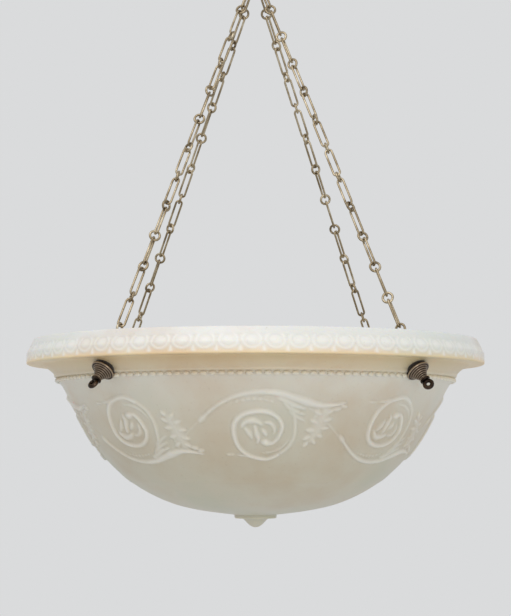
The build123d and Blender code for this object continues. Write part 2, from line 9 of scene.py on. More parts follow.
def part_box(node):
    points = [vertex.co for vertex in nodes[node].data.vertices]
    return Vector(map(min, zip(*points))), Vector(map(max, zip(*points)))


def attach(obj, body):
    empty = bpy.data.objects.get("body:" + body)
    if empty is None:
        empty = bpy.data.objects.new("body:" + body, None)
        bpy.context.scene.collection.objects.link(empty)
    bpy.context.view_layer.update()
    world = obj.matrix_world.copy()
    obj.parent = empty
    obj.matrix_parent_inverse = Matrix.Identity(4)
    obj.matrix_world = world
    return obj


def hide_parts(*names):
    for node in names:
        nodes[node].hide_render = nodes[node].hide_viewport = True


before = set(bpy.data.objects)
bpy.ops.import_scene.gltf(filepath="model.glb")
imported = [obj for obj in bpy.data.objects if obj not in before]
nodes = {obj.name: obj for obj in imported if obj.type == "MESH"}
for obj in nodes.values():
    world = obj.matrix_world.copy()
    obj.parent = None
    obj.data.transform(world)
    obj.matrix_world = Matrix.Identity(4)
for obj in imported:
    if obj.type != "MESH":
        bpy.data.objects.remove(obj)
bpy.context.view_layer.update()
mm = 0.001
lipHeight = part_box("glass_bowl")[1].z
bowlDepth = 186.0  # mm from the lip down to the tip of the knob
print("frame loaded, lip at", round(lipHeight, 4))


# materials

def hexColour(code):
    channels = [int(code[i:i + 2], 16) / 255 for i in (1, 3, 5)]
    linear = [c / 12.92 if c <= 0.04045 else ((c + 0.055) / 1.055) ** 2.4 for c in channels]
    return (*linear, 1.0)


def addNode(tree, kind, settings=None, **sockets):
    node = tree.nodes.new(kind)
    for key, value in (settings or {}).items():
        setattr(node, key, value)
    for key, value in sockets.items():
        socket = node.inputs[key.replace("_", " ")]
        if isinstance(value, bpy.types.NodeSocket):
            tree.links.new(value, socket)
        else:
            socket.default_value = value
    return node


def ramp(tree, factor, stops):
    node = addNode(tree, "ShaderNodeValToRGB", Fac=factor)
    while len(node.color_ramp.elements) < len(stops):
        node.color_ramp.elements.new(0.5)
    for element, (place, code) in zip(node.color_ramp.elements, stops):
        element.position = place
        element.color = hexColour(code)
    return node.outputs["Color"]


def mixColour(tree, factor, first, second, blend="MIX"):
    node = addNode(tree, "ShaderNodeMix", {"data_type": "RGBA", "blend_type": blend})
    for index, value in ((0, factor), (6, first), (7, second)):
        if isinstance(value, bpy.types.NodeSocket):
            tree.links.new(value, node.inputs[index])
        else:
            node.inputs[index].default_value = value
    return node.outputs[2]


def newMaterial(name):
    material = bpy.data.materials.new(name)
    material.use_nodes = True
    tree = material.node_tree
    shader = tree.nodes["Principled BSDF"]
    where = addNode(tree, "ShaderNodeTexCoord").outputs["Object"]
    return material, tree, shader, where


def addBump(tree, shader, height, strength, distance):
    bump = addNode(tree, "ShaderNodeBump", Height=height, Strength=strength, Distance=distance)
    tree.links.new(bump.outputs["Normal"], shader.inputs["Normal"])


def opalGlass():
    # pressed opal glass with a satin skin: cream white, painted by height with light and shade,
    # clouded every 90 mm, with specks of dust drawn 2.5 mm wide so that they show
    material, tree, shader, where = newMaterial("opalGlass")
    height = addNode(tree, "ShaderNodeSeparateXYZ", Vector=where).outputs["Z"]
    fall = addNode(tree, "ShaderNodeMapRange", Value=height, From_Min=lipHeight - bowlDepth * mm,
                   From_Max=lipHeight).outputs["Result"]
    # painted light and shade by height: the rim painted bright, its lower corner a painted warm
    # glow, the hollow under the rim painted tan shade, the body painted darker towards the knob
    body = ramp(tree, fall, [(0.0, "#CDC6B4"), (0.3, "#CBC4B1"), (0.55, "#D3CDBD"),
                             (0.77, "#E2DDD1"), (0.806, "#DBCEB6"), (0.858, "#DAC39B"),
                             (0.872, "#ECD5AE"), (0.89, "#EFE3D0"), (0.91, "#ECE9E2"),
                             (1.0, "#EBEBEA")])
    # the inside keeps one plain tone, free of the outer painted shade
    within = addNode(tree, "ShaderNodeAttribute", {"attribute_name": "inner"}).outputs["Fac"]
    body = mixColour(tree, within, body, hexColour("#E4E0D5"))
    cloud = addNode(tree, "ShaderNodeTexNoise", Vector=where, Scale=11.0, Detail=4.0,
                    Roughness=0.55).outputs["Fac"]
    tint = ramp(tree, cloud, [(0.34, "#EBDCCB"), (0.5, "#F5F3EE"), (0.66, "#E8EEE6")])
    clouded = mixColour(tree, 0.6, body, tint, "MULTIPLY")
    # painted highlight: the raised eggs, darts and scrolls are painted lighter where the relief
    # attribute marks them
    relief = addNode(tree, "ShaderNodeAttribute", {"attribute_name": "relief"}).outputs["Fac"]
    crestHighlight = mixColour(tree, relief, clouded, hexColour("#F0EEE8"))
    speck = addNode(tree, "ShaderNodeTexNoise", Vector=where, Scale=420.0,
                    Detail=2.0).outputs["Fac"]
    dust = ramp(tree, speck, [(0.62, "#FFFFFF"), (0.78, "#C9B48F")])
    tree.links.new(mixColour(tree, 0.18, crestHighlight, dust, "MULTIPLY"), shader.inputs["Base Color"])
    shader.inputs["Roughness"].default_value = 0.38
    shader.inputs["IOR"].default_value = 1.5
    shader.inputs["Subsurface Weight"].default_value = 0.35
    shader.inputs["Subsurface Radius"].default_value = (1.0, 0.8, 0.55)
    shader.inputs["Subsurface Scale"].default_value = 0.005
    wave = addNode(tree, "ShaderNodeTexNoise", Vector=where, Scale=60.0, Detail=3.0).outputs["Fac"]
    addBump(tree, shader, wave, 0.12, 1.0 * mm)  # the skin waves every 17 mm
    return material


def agedMetal(name, dark, middle, light, roughness, scale=180.0, bump=0.15, highlightColour="#B9A98F"):
    # old metal: patches of three browns, a painted highlight in a lighter colour where the relief
    # attribute marks crests, marks 0.7 mm wide
    material, tree, shader, where = newMaterial(name)
    patch = addNode(tree, "ShaderNodeTexNoise", Vector=where, Scale=scale, Detail=5.0,
                    Roughness=0.6).outputs["Fac"]
    colour = ramp(tree, patch, [(0.3, dark), (0.5, middle), (0.68, light)])
    crestHighlight = addNode(tree, "ShaderNodeAttribute", {"attribute_name": "relief"}).outputs["Fac"]
    colour = mixColour(tree, crestHighlight, colour, hexColour(highlightColour))
    tree.links.new(colour, shader.inputs["Base Color"])
    rough = addNode(tree, "ShaderNodeMapRange", Value=patch, To_Min=roughness + 0.1,
                    To_Max=roughness - 0.08).outputs["Result"]
    tree.links.new(rough, shader.inputs["Roughness"])
    shader.inputs["Metallic"].default_value = 1.0
    fine = addNode(tree, "ShaderNodeTexNoise", Vector=where, Scale=1400.0,
                   Detail=2.0).outputs["Fac"]
    addBump(tree, shader, fine, bump, 0.1 * mm)
    return material


def threadedBrass():
    # the fittings' brass with a thread on the straight rod, faded out above the hook's neck
    pitch, fadeEnd, fadeStart = 1.25 * mm, -70.5 * mm, -68.5 * mm
    material = agedMetal("threadedBrass", "#6A5433", "#86693F", "#9E8252", 0.34, 45.0, 0.06)
    tree = material.node_tree
    shader = tree.nodes["Principled BSDF"]
    where = addNode(tree, "ShaderNodeTexCoord").outputs["Object"]
    height = addNode(tree, "ShaderNodeSeparateXYZ", Vector=where).outputs["Z"]
    turns = addNode(tree, "ShaderNodeMath", {"operation": "MULTIPLY"})
    tree.links.new(height, turns.inputs[0])
    turns.inputs[1].default_value = 2 * math.pi / pitch
    ridge = addNode(tree, "ShaderNodeMath", {"operation": "SINE"})
    tree.links.new(turns.outputs[0], ridge.inputs[0])
    straight = addNode(tree, "ShaderNodeMapRange", Value=height, From_Min=fadeEnd,
                       From_Max=fadeStart).outputs["Result"]
    thread = addNode(tree, "ShaderNodeMath", {"operation": "MULTIPLY"})
    tree.links.new(ridge.outputs[0], thread.inputs[0])
    tree.links.new(straight, thread.inputs[1])
    addBump(tree, shader, thread.outputs[0], 0.9, 0.4 * mm)
    return material


def darkFelt():
    # pressed wool felt, dull and nearly black; its hairs are drawn 1.1 mm wide so that they show
    material, tree, shader, where = newMaterial("darkFelt")
    hair = addNode(tree, "ShaderNodeTexNoise", Vector=where, Scale=900.0, Detail=6.0,
                   Roughness=0.7).outputs["Fac"]
    tree.links.new(ramp(tree, hair, [(0.35, "#17120E"), (0.7, "#382D24")]),
                   shader.inputs["Base Color"])
    shader.inputs["Roughness"].default_value = 0.95
    shader.inputs["Sheen Weight"].default_value = 0.25
    addBump(tree, shader, hair, 0.6, 0.4 * mm)
    return material


def zincSteel():
    # zinc plated steel strap, cool grey with a faint spangle of 4.5 mm
    material, tree, shader, where = newMaterial("zincSteel")
    spangle = addNode(tree, "ShaderNodeTexVoronoi", Vector=where, Scale=220.0).outputs["Distance"]
    tree.links.new(ramp(tree, spangle, [(0.0, "#A4A4A1"), (0.6, "#B0AFAA"), (1.0, "#BAB8B0")]),
                   shader.inputs["Base Color"])
    shader.inputs["Metallic"].default_value = 1.0
    shader.inputs["Roughness"].default_value = 0.42
    return material


def plainMaterial(name, code, roughness, **inputs):
    material, _, shader, _ = newMaterial(name)
    shader.inputs["Base Color"].default_value = hexColour(code)
    shader.inputs["Roughness"].default_value = roughness
    for key, value in inputs.items():
        shader.inputs[key.replace("_", " ")].default_value = value
    return material


glassMaterial = opalGlass()
# drawn brass wire gone pale and grey, in patches of 14 mm
chainBrass = agedMetal("chainBrass", "#7F705A", "#A9997E", "#CDC0A7", 0.33, 70.0, 0.06)
# spun and cast brass, browned, in patches of 22 mm
fittingBrass = agedMetal("fittingBrass", "#6A5433", "#86693F", "#9E8252", 0.34, 45.0, 0.06)
rodBrass = threadedBrass()
# turned bronze, nearly black, with painted highlights on its ridges and on the rims of its flange
# and tip
studBronze = agedMetal("studBronze", "#1F1814", "#3A2F28", "#5C4C40", 0.3, 160.0, 0.08,
                       "#B8A48E")
# turned brass kept out of the light, still yellow
turnedBrass = agedMetal("turnedBrass", "#9A7A43", "#B08D4F", "#BF9C60", 0.3, 60.0, 0.05)
feltMaterial = darkFelt()
steelMaterial = zincSteel()
# moulded phenolic, brown black with a soft gloss
mouldingMaterial = plainMaterial("blackMoulding", "#1D1916", 0.42)
# lamp glass frosted inside, so white that nothing shows through
lampMaterial = plainMaterial("frostedLamp", "#F1EFE9", 0.35, Subsurface_Weight=0.25,
                             Subsurface_Scale=4.0 * mm)
print("materials made")


# meshes made from points

def meshObject(name, points, faces, material, **marks):
    mesh = bpy.data.meshes.new(name)
    mesh.from_pydata([tuple(p) for p in points], [], [tuple(f) for f in faces])
    mesh.update()
    for label, values in marks.items():
        layer = mesh.attributes.new(label, "FLOAT", "POINT")
        layer.data.foreach_set("value", np.asarray(values, np.float32))
    form = bmesh.new()
    form.from_mesh(mesh)
    bmesh.ops.recalc_face_normals(form, faces=form.faces)
    form.to_mesh(mesh)
    form.free()
    mesh.polygons.foreach_set("use_smooth", [True] * len(mesh.polygons))
    mesh.materials.append(material)
    thing = bpy.data.objects.new(name, mesh)
    bpy.context.scene.collection.objects.link(thing)
    return thing


def lathe(profile, count):
    # profile of (radius, height) pairs turned about Z; a radius of 0 closes in a pole
    points, rings, faces = [], [], []
    for radius, height in profile:
        if radius < 1e-9:
            rings.append([len(points)])
            points.append((0.0, 0.0, height))
            continue
        rings.append(list(range(len(points), len(points) + count)))
        for n in range(count):
            turn = 2 * math.pi * n / count
            points.append((radius * math.cos(turn), radius * math.sin(turn), height))
    for a, b in zip(rings, rings[1:]):
        for n in range(count):
            m = (n + 1) % count
            if len(a) == 1:
                faces.append((a[0], b[n], b[m]))
            elif len(b) == 1:
                faces.append((a[n], b[0], a[m]))
            else:
                faces.append((a[n], b[n], b[m], a[m]))
    return np.array(points), faces


def tube(path, radius, count, closed=False):
    # wire of round section along a list of points, with a low cone on each open end
    path = [Vector(p) for p in path]
    last = len(path) - 1
    tangents = []
    for n in range(len(path)):
        before = path[n - 1] if n or closed else path[0]
        after = path[(n + 1) % len(path)] if n < last or closed else path[last]
        tangents.append((after - before).normalized())
    side = tangents[0].orthogonal().normalized()
    rings, points, faces = [], [], []
    for place, along in zip(path, tangents):
        side = (side - along * side.dot(along)).normalized()
        other = along.cross(side)
        rings.append(list(range(len(points), len(points) + count)))
        for n in range(count):
            turn = 2 * math.pi * n / count
            points.append(place + (side * math.cos(turn) + other * math.sin(turn)) * radius)
    pairs = list(zip(rings, rings[1:])) + ([(rings[-1], rings[0])] if closed else [])
    for a, b in pairs:
        for n in range(count):
            m = (n + 1) % count
            faces.append((a[n], a[m], b[m], b[n]))
    if not closed:
        for ring, place, along in ((rings[0], path[0], -tangents[0]),
                                   (rings[-1], path[-1], tangents[-1])):
            tip = len(points)
            points.append(place + along * (radius * 0.45))
            for n in range(count):
                faces.append((ring[n], ring[(n + 1) % count], tip))
    return np.array([tuple(p) for p in points]), faces


def turnedMm(profile, count, start=0.0):
    # a lathed form from (radius, height) pairs in millimetres
    return lathe([(r * mm, (h + start) * mm) for r, h in profile], count)


def placed(part, matrix):
    points, faces = part
    turned = points @ np.array(matrix)[:3, :3].T + np.array(matrix)[:3, 3]
    return turned, faces


def joined(parts):
    points, faces, start = [], [], 0
    for partPoints, partFaces in parts:
        points.append(partPoints)
        faces += [tuple(i + start for i in face) for face in partFaces]
        start += len(partPoints)
    return np.concatenate(points), faces


def dress(thing, body, slot, *replaced):
    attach(thing, body)
    if replaced:
        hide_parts(*replaced)
    return thing


def bevelCopy(node, name, material, width, body, slot):
    # the CAD piece merged into whole faces, with soft edges
    form = bmesh.new()
    form.from_mesh(nodes[node].data)
    bmesh.ops.remove_doubles(form, verts=form.verts, dist=1e-6)
    bmesh.ops.dissolve_limit(form, angle_limit=math.radians(0.6), verts=form.verts,
                             edges=form.edges)
    mesh = bpy.data.meshes.new(name)
    form.to_mesh(mesh)
    form.free()
    mesh.polygons.foreach_set("use_smooth", [True] * len(mesh.polygons))
    mesh.materials.append(material)
    thing = bpy.data.objects.new(name, mesh)
    bpy.context.scene.collection.objects.link(thing)
    bevel = thing.modifiers.new("soft edges", "BEVEL")
    bevel.width = width
    bevel.segments = 2
    bevel.limit_method = "ANGLE"
    bevel.angle_limit = math.radians(28)
    bevel.harden_normals = True
    return dress(thing, body, slot, node)


# glass bowl

# radii and drops under the lip in millimetres, turns in degrees
bowl = {"rim": 228.53, "eggs": 68, "eggTurn": 2.55, "eggTop": 6.6, "eggDrop": 12.4, "eggFoot": 23.2,
        "beads": 150, "beadRadius": 198.3, "beadDrop": 40.6, "beadLong": 3.6, "beadHigh": 2.2,
        "scrollDrop": 96.5, "scrollRadius": 176.0, "scrollTurn": 0.4, "scrollFlip": 15.0,
        "friezeTop": 52.0, "friezeFoot": 128.0, "stud": 202.5, "studDrop": 32.8,
        "studSlope": 47.0, "cove": 42.0, "flank": 159.43, "flankCentre": (30.76, -11.33),
        "flankTop": -28.0, "flankFoot": -73.89, "wall": 7, "floor": 165.6}
# half widths and heights of the flat eggs, their shells and the darts, and how far they stand out
egg = {"radius": 227.0, "wide": 6.3, "high": 5.2, "lift": 0.6, "shellWide": 8.3, "shellHigh": 7.4,
       "shellLift": 0.55, "dartAt": 10.49, "dartTop": 4.0, "dartLong": 6.5, "dartWide": 3.4,
       "dartLift": 0.7}
# rounds of the rim and body: (height, drop, half width), and the faint ring low on the body
rounds = [(1.5, 39.5, 4.5), (1.1, 35.9, 1.1), (-0.6, 38.3, 0.7)]
lowRing = {"height": 0.5, "start": 130, "rise": 8, "end": 141.5, "edge": 0.5}
# points round the bowl in each band
around = {"inside": 272, "lip": 544, "eggs": 1088, "plain": 480, "frieze": 960, "crown": 240,
          "foot": 120}
slopeCos = math.cos(math.radians(bowl["studSlope"]))
slopeSin = math.sin(math.radians(bowl["studSlope"]))


def arcPoints(centre, radius, first, last, count):
    turns = [math.radians(first + (last - first) * n / count) for n in range(count + 1)]
    return [(centre[0] + radius * math.cos(t), centre[1] + radius * math.sin(t)) for t in turns]


def line(a, b, count):
    return [(a[0] + (b[0] - a[0]) * n / count, a[1] + (b[1] - a[1]) * n / count)
            for n in range(count + 1)]


coveCentre = (bowl["stud"] + bowl["cove"] * slopeCos, -bowl["studDrop"] - bowl["cove"] * slopeSin)
covePoints = arcPoints(coveCentre, bowl["cove"], 113.5, 152.0, 38)
flank = arcPoints(bowl["flankCentre"], bowl["flank"], bowl["flankTop"], bowl["flankFoot"], 104)
cone = line(covePoints[-1], flank[0], 36)
split = [n for n, p in enumerate(flank) if -p[1] < bowl["friezeFoot"]][-1]

# rows from the inner lip edge over the rim and down to the knob: ((radius, height), points round)
outline = []
for band, rows in (
        ("inside", [(213.6, -0.6), (214.0, -0.15), (214.8, 0.0)]),
        ("lip", [(217.5, 0.0), (220.0, 0.0)]),
        ("eggs", [(220.9, -0.12), (221.5, -0.5), (221.9, -1.1)]),
        ("eggs", line((221.9, -1.1), (224.8, -6.8), 2)[1:]),
        ("eggs", line((224.8, -6.8), (227.6, -12.3), 6)[1:]),
        ("eggs", [(228.0, -13.1), (228.3, -13.9), (228.45, -14.8)]),
        ("eggs", line((228.45, -14.8), (228.6, -23.4), 9)[1:]),
        ("lip", [(228.55, -23.9), (228.2, -24.4), (227.4, -24.75)]),
        ("plain", line((227.4, -24.75), (215.6, -24.9), 3)[1:]),
        ("plain", covePoints + cone[1:7]),
        ("frieze", cone[7:] + flank[1:split + 1]),
        ("plain", flank[split + 1::2]),
        ("crown", [(68.0, -166.2), (58.0, -168.3), (46.5, -170.2), (34.0, -171.8), (24.0, -173.0),
                   (21.9, -173.3), (21.3, -173.7)]),
        ("foot", [(21.0, -174.2), (21.0, -175.9), (20.6, -176.6), (19.9, -176.95), (16.5, -177.0),
                  (14.4, -177.0), (13.4, -177.2), (12.1, -177.9), (10.6, -179.1), (9.1, -180.8),
                  (7.6, -182.4), (5.8, -183.9), (3.8, -185.1), (1.9, -185.8)])):
    outline += [(p, around[band]) for p in rows]
points2d = np.array([p for p, _ in outline])
steps = np.hypot(*(points2d[1:] - points2d[:-1]).T)
along = np.concatenate([[0], np.cumsum(steps)])
tangent = np.gradient(points2d, axis=0)
tangent /= np.maximum(np.hypot(tangent[:, 0], tangent[:, 1]), 1e-9)[:, None]
normal2d = np.stack([-tangent[:, 1], tangent[:, 0]], 1)


def depthToLength(drop):
    # distance along the outline where it is this far under the lip, outside the rim
    return np.interp(drop, -points2d[3:, 1], along[3:])


def eggRelief(turn, length):
    # flat egg in a shell border, and a dart at the foot between two eggs
    pitch = 2 * math.pi / bowl["eggs"]
    place = (turn - math.radians(bowl["eggTurn"])) / pitch
    u = ((place + 0.5) % 1 - 0.5) * pitch * egg["radius"]
    v = length - depthToLength(bowl["eggDrop"])
    top = depthToLength(bowl["eggTop"]) - depthToLength(bowl["eggDrop"])
    foot = depthToLength(bowl["eggFoot"]) - depthToLength(bowl["eggDrop"])
    ease = np.clip((v - top) / 1.6, 0, 1) * np.clip((foot - v) / 1.4, 0, 1)
    inside = ease ** 2 * (3 - 2 * ease)
    flat = np.clip(1 - (u / egg["wide"]) ** 2 - (v / egg["high"]) ** 2, 0, 1)
    shell = np.sqrt((u / egg["shellWide"]) ** 2 + (v / egg["shellHigh"]) ** 2) - 1
    shell = egg["shellLift"] * np.exp(-(shell * 6.5) ** 2)
    side = np.minimum(np.abs(u - egg["dartAt"]), np.abs(u + egg["dartAt"]))
    below = v - egg["dartTop"]
    spread = np.clip(below / egg["dartLong"], 0, 1) * egg["dartWide"] + 0.01
    dart = egg["dartLift"] * np.clip(1.15 - side / spread, 0, 1) * np.clip(below / 1.5, 0, 1)
    form = np.maximum(np.maximum(egg["lift"] * flat ** 0.6, shell), dart)
    # the ground is pressed in by as much as an egg stands out
    # the second value is a painted highlight: eggs, shells and darts painted lighter where they
    # stand out
    return inside * (form - egg["lift"]), inside * np.clip(form / egg["dartLift"], 0, 1) * 0.7


def curveThrough(points, spacing=0.9):
    # Catmull-Rom line through the given points
    given = np.array(points, float)
    given = np.concatenate([[2 * given[0] - given[1]], given, [2 * given[-1] - given[-2]]])
    found = []
    for n in range(1, len(given) - 2):
        p0, p1, p2, p3 = given[n - 1:n + 3]
        count = max(2, int(np.hypot(*(p2 - p1)) / spacing))
        for t in np.arange(count) / count:
            found.append(0.5 * (2 * p1 + (p2 - p0) * t + (2 * p0 - 5 * p1 + 4 * p2 - p3) * t ** 2
                                + (3 * p1 - p0 - 3 * p2 + p3) * t ** 3))
    found.append(given[-2])
    return np.array(found)


# one scroll in millimetres, x to the right and y up from its own middle:
# (points, half width at the start, in the middle, at the end, height, bead pitch)
scrollStrokes = [
    ([(-98, -14), (-86, -7), (-74, 4), (-62, 14.5)], 0.9, 1.3, 1.2, 0.7, 0),
    ([(-60, 15), (-56.5, 18.5), (-53, 21.5)], 2.2, 2.8, 1.6, 1.7, 0),
    ([(-57, 18), (-50, 24.5), (-39, 33), (-27, 39.6), (-13, 43.8), (2, 44.8), (14.5, 43.1)],
     1.5, 2.3, 3.0, 1.9, 0),
    ([(0, 44.9), (14.5, 43.1), (27, 38.8), (42.7, 33.7), (53, 31.6), (66, 32.6), (76, 35)],
     2.4, 4.3, 0.9, 2.3, 0),
    ([(10, 42.5), (20, 36.5), (26.5, 26), (29.5, 14), (30.3, 0), (26, -11.5), (17.5, -20)],
     1.6, 1.9, 2.0, 1.3, 0),
    ([(17.5, -20), (9, -24.6), (0.7, -26), (-13.8, -21.8), (-23.3, -13), (-27.6, -0.6), (-27, 12.7),
      (-19.7, 21.4), (-8, 25.1), (3.5, 24.4), (12.6, 19.3), (17.5, 11.2), (16.7, 4), (13.4, -3.6),
      (8.2, -8.2), (1.2, -7)], 2.2, 2.7, 1.9, 2.2, 0),
    ([(-29, 34), (-15, 37.2), (0, 37.0), (9, 34.5)], 1.1, 1.6, 1.1, 1.2, 5.2),
    ([(12, 39), (20, 35.5), (28, 31), (38, 28)], 2.0, 3.0, 1.2, 1.6, 0),
    ([(17, 35), (22, 29.5), (30, 25), (38, 22)], 1.4, 2.6, 1.0, 1.4, 0),
    ([(22, 30), (25, 24), (32, 19), (39, 15)], 1.0, 2.3, 0.9, 1.2, 0),
    ([(-38, -20.5), (-30, -21.0)], 1.0, 1.4, 1.2, 1.5, 0),
    ([(-27, -21), (-19, -22), (-12, -23.5)], 0.9, 1.6, 1.6, 1.5, 0),
    ([(0, -19), (10, -17.2), (19, -12.5), (25.5, -4)], 0.9, 1.6, 0.9, 1.3, 0),
    ([(-21, 9), (-16, 15), (-8, 15.5), (-1, 12)], 1.6, 3.4, 1.8, 1.8, 0),
    ([(-18, 9), (-13.5, 3.5), (-10.5, -3)], 1.6, 3.0, 1.2, 1.6, 0),
    ([(-8, 11), (-6.5, 4), (-4.5, -3), (-6, -8)], 1.6, 3.0, 1.3, 1.9, 0),
    ([(0, 14), (6.5, 13), (10.5, 8), (10, 2)], 1.2, 2.4, 1.2, 1.5, 0),
    ([(-1.5, 7), (2, 3), (3, 0)], 1.8, 2.6, 1.6, 1.8, 0),
    ([(5.5, -8), (0, -6.5)], 3.4, 3.6, 3.0, 2.5, 0),
    ([(57, 29), (56, 20), (53, 8), (48, -6)], 1.6, 2.6, 1.0, 1.4, 3.6),
    ([(50, 30), (49, 22), (46, 14)], 1.3, 2.2, 1.0, 1.1, 3.2),
]
# leaflets of the husk that hangs from the leaf: (middle, direction in degrees, length)
huskLeaflets = [((61, 25), 30, 9), ((50, 24), 150, 9), ((60.5, 17), 14, 9.5), ((48, 15), 162, 9.5),
                ((59, 8.5), 0, 9), ((45.5, 6), 180, 9.5), ((55.5, 0.5), -20, 8),
                ((43, -2), 205, 8.5), ((51, -6), -45, 7), ((43, -9), 235, 7), ((68, 28), 15, 9),
                ((74, 31), -12, 7)]
scrollStrokes.append(([(58, 28), (55, 17), (52, 6), (47, -6)], 4.0, 7.5, 3.0, 1.0, 0))
for middle, heading, length in huskLeaflets:
    reach = (math.cos(math.radians(heading)) * length / 2,
             math.sin(math.radians(heading)) * length / 2)
    scrollStrokes.append(([(middle[0] - reach[0], middle[1] - reach[1]),
                           (middle[0] + reach[0], middle[1] + reach[1])], 1.5, 2.6, 0.9, 1.6, 0))


def strokeRelief(x, y, stroke):
    points, first, middle, last, height, beadPitch = stroke
    path = curveThrough(points)
    share = np.linspace(0, 1, len(path))
    width = np.where(share < 0.5, first + (middle - first) * share * 2,
                     middle + (last - middle) * (share * 2 - 1))
    tall = height * np.clip(np.minimum(share, 1 - share) * len(path) / 3 + 0.35, 0, 1)
    if beadPitch:
        run = np.concatenate([[0], np.cumsum(np.hypot(*(path[1:] - path[:-1]).T))])
        swell = 0.55 + 0.45 * np.cos(2 * math.pi * run / beadPitch)
        tall, width = tall * swell, width * (0.6 + 0.4 * swell)
    near = ((x > path[:, 0].min() - 4) & (x < path[:, 0].max() + 4)
            & (y > path[:, 1].min() - 4) & (y < path[:, 1].max() + 4))
    relief = np.zeros(x.shape)
    if near.any():
        gap = np.hypot(x[near][:, None] - path[:, 0], y[near][:, None] - path[:, 1]) / width
        relief[near] = (np.clip(1 - (gap / 1.15) ** 2, 0, 1) ** 1.2 * tall).max(1)
    return relief


def friezeRelief(turn, length):
    # two scrolls to each quarter turn, the second upside down
    quarter = math.pi / 2
    up = depthToLength(bowl["scrollDrop"]) - length
    relief = np.zeros(turn.shape)
    for offset, high in ((0.0, up), (45.0, bowl["scrollFlip"] - up)):
        centre = math.radians(bowl["scrollTurn"] + offset - 90)
        away = ((turn - centre + quarter / 2) % quarter - quarter / 2) * bowl["scrollRadius"]
        y = np.full(turn.shape, high)
        for shift in (-quarter, 0, quarter):
            x = away + shift * bowl["scrollRadius"]
            for stroke in scrollStrokes:
                relief = np.maximum(relief, strokeRelief(x, y, stroke))
    return relief


def ringRelief(drop):
    # swelling under the beads, fillet and groove above them, and the faint ring low on the body
    upper = sum(height * math.exp(-((drop - at) / wide) ** 2) for height, at, wide in rounds)
    share = min(1.0, max(0.0, (drop - lowRing["start"]) / lowRing["rise"]))
    step = 1 + math.exp((drop - lowRing["end"]) / lowRing["edge"])
    return upper + lowRing["height"] * share / step


bowlPoints, bowlHighlight, bowlInner, bowlRings = [], [], [], []
for n, ((radius, height), count) in enumerate(outline):
    turns = 2 * math.pi * np.arange(count) / count
    lift, highlightMark = np.zeros(count), np.zeros(count)
    if bowl["eggTop"] - 1 < -height < bowl["eggFoot"] + 0.3 and radius > 221:
        lift, highlightMark = eggRelief(turns, along[n])
    elif bowl["friezeTop"] - 1 < -height < bowl["friezeFoot"] and count == around["frieze"]:
        quarterTurns = turns[:count // 4]
        lift = np.tile(friezeRelief(quarterTurns, along[n]), 4)
        # painted highlight: the scrolls painted lighter where they stand out
        highlightMark = np.clip(lift / 2.0, 0, 1) * 0.45
        lift = lift + ringRelief(-height)
    elif -height > 25:
        lift = lift + ringRelief(-height)
    r = np.minimum(radius + lift * normal2d[n, 0], bowl["rim"])
    z = height + lift * normal2d[n, 1]
    bowlRings.append(list(range(len(bowlPoints), len(bowlPoints) + count)))
    bowlPoints += list(zip(r * np.cos(turns), r * np.sin(turns), z))
    bowlHighlight += list(highlightMark)
    bowlInner += [0.0] * count
print("outside of the bowl:", len(bowlPoints), "points")

# inside, up from the floor to the lip
inside = [((28.0, -bowl["floor"]), 90), ((42.0, -165.4), 136), ((48.0, -164.6), 136)]
inside += [(p, 136) for p in line((52.0, -163.4), (70.0, -158.6), 3)]
innerRows = arcPoints(bowl["flankCentre"], bowl["flank"] - bowl["wall"], -73.0,
                      bowl["flankTop"], 18)
innerRows += line((165.34, -82.89), (190.6, -35.4), 5)[1:] + [(191.4, -33.4), (192.6, -32.1)]
innerRows += line((192.6, -32.1), (212.4, -13.9), 4)[1:]
innerRows += [(213.3, -12.9), (213.6, -11.8), (213.6, -5.0)]
inside += [(p, around["inside"]) for p in innerRows]
for (radius, height), count in reversed(inside):
    turns = 2 * math.pi * np.arange(count) / count
    bowlRings.insert(0, list(range(len(bowlPoints), len(bowlPoints) + count)))
    bowlPoints += [(radius * math.cos(t), radius * math.sin(t), height) for t in turns]
    bowlHighlight += [0.0] * count
    bowlInner += [1.0] * count


def stitch(a, b):
    # quads between equal rings, a fan of triangles between unequal ones
    if len(a) == len(b):
        count = len(a)
        return [(a[n], b[n], b[(n + 1) % count], a[(n + 1) % count]) for n in range(count)]
    faces, i, j = [], 0, 0
    while i < len(a) or j < len(b):
        if j >= len(b) or (i < len(a) and (i + 1) / len(a) <= (j + 1) / len(b)):
            faces.append((a[i], b[j % len(b)], a[(i + 1) % len(a)]))
            i += 1
        else:
            faces.append((a[i % len(a)], b[j], b[(j + 1) % len(b)]))
            j += 1
    return faces


bowlFaces = []
for a, b in zip(bowlRings, bowlRings[1:]):
    bowlFaces += stitch(a, b)
for ring, height, inner in ((bowlRings[0], -bowl["floor"], 1.0), (bowlRings[-1], -bowlDepth, 0.0)):
    pole = len(bowlPoints)
    bowlPoints.append((0.0, 0.0, height))
    bowlHighlight.append(0.0)
    bowlInner.append(inner)
    bowlFaces += [(ring[n], ring[(n + 1) % len(ring)], pole) for n in range(len(ring))]
bowlPoints = np.array(bowlPoints) * mm + np.array([0, 0, lipHeight])
glassBowl = meshObject("glassBowl", bowlPoints, bowlFaces, glassMaterial, relief=bowlHighlight,
                       inner=bowlInner)
dress(glassBowl, "pendant", "opal_glass", "glass_bowl")
print("bowl:", len(bowlFaces), "faces")


# pieces that repeat, by geometry nodes

def nodeGroup(name, inputs):
    tree = bpy.data.node_groups.new(name, "GeometryNodeTree")
    tree.interface.new_socket("Geometry", in_out="INPUT", socket_type="NodeSocketGeometry")
    for label, kind in inputs:
        tree.interface.new_socket(label, in_out="INPUT", socket_type=kind)
    tree.interface.new_socket("Geometry", in_out="OUTPUT", socket_type="NodeSocketGeometry")
    return tree, addNode(tree, "NodeGroupInput"), addNode(tree, "NodeGroupOutput")


